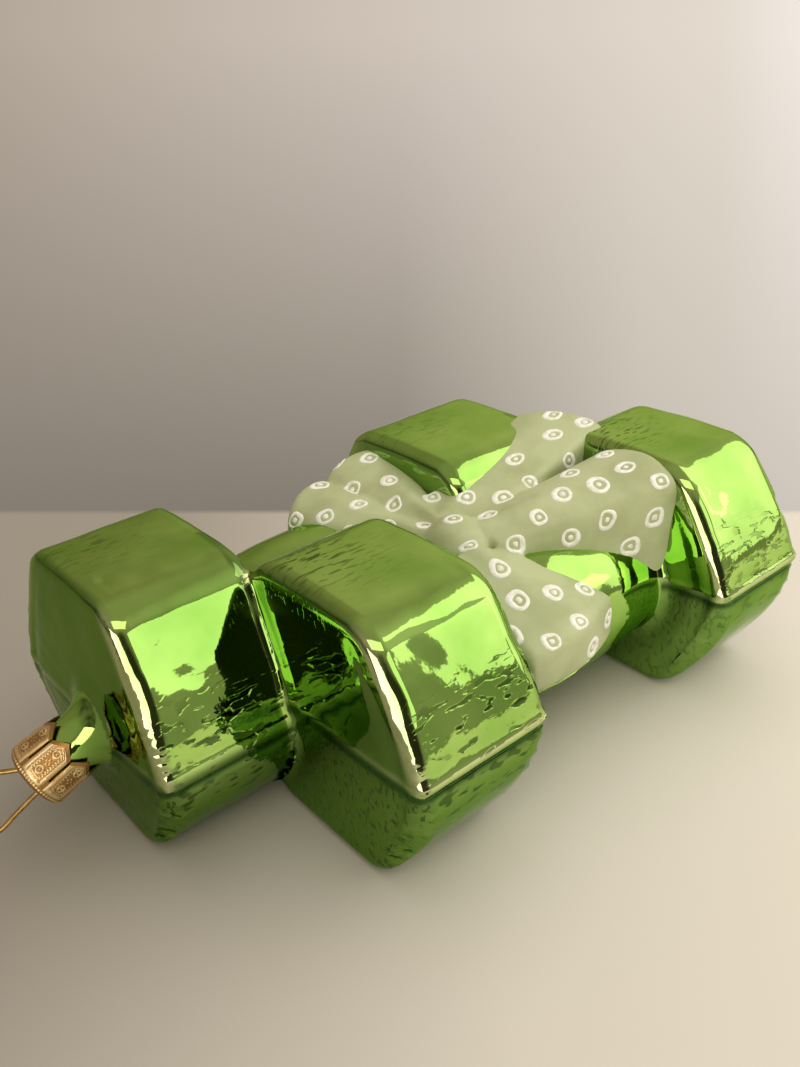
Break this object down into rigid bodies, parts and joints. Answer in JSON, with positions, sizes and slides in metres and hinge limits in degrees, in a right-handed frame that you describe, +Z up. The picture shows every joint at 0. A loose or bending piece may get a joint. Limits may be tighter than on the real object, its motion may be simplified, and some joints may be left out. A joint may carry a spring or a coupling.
{
  "type": "glass tree ornament",
  "caption": "Blown glass tree ornament: staggered hexagonal dumbbells tied with a painted bow, with a crown cap and a wire hanger.",
  "frame": {"origin": "under the middle of the whole ornament, on the surface that it rests on", "axes": "+Z up, +X along the dumbbells away from the cap, +Y from the dumbbell with no cap towards the dumbbell with the cap"},
  "size_m": [0.1508, 0.0828, 0.0518],
  "materials": {
    "green_silvered_glass": "silvered inside and lacquered green, mirror gloss with a slight ripple",
    "sage_enamel": "matt hand-painted enamel with off-white rings",
    "gilt_cap": "stamped and gilt, satin",
    "brass_wire": "drawn wire, satin"
  },
  "bodies": {
    "glass": {"glass_body": "green_silvered_glass", "bow_enamel": "sage_enamel"},
    "cap": {"crown_cap": "gilt_cap"},
    "hanger": {"wire_hanger": "brass_wire"}
  },
  "joints": [
    {"name": "cap_pull", "type": "slide", "parent": "glass", "child": "cap", "axis": [-0.8637, 0.1836, -0.4695], "range_m": [0, 0.012]},
    {"name": "hanger_draw", "type": "slide", "parent": "cap", "child": "hanger", "axis": [-0.8637, 0.1836, -0.4695], "range_m": [0, 0.004]}
  ]
}
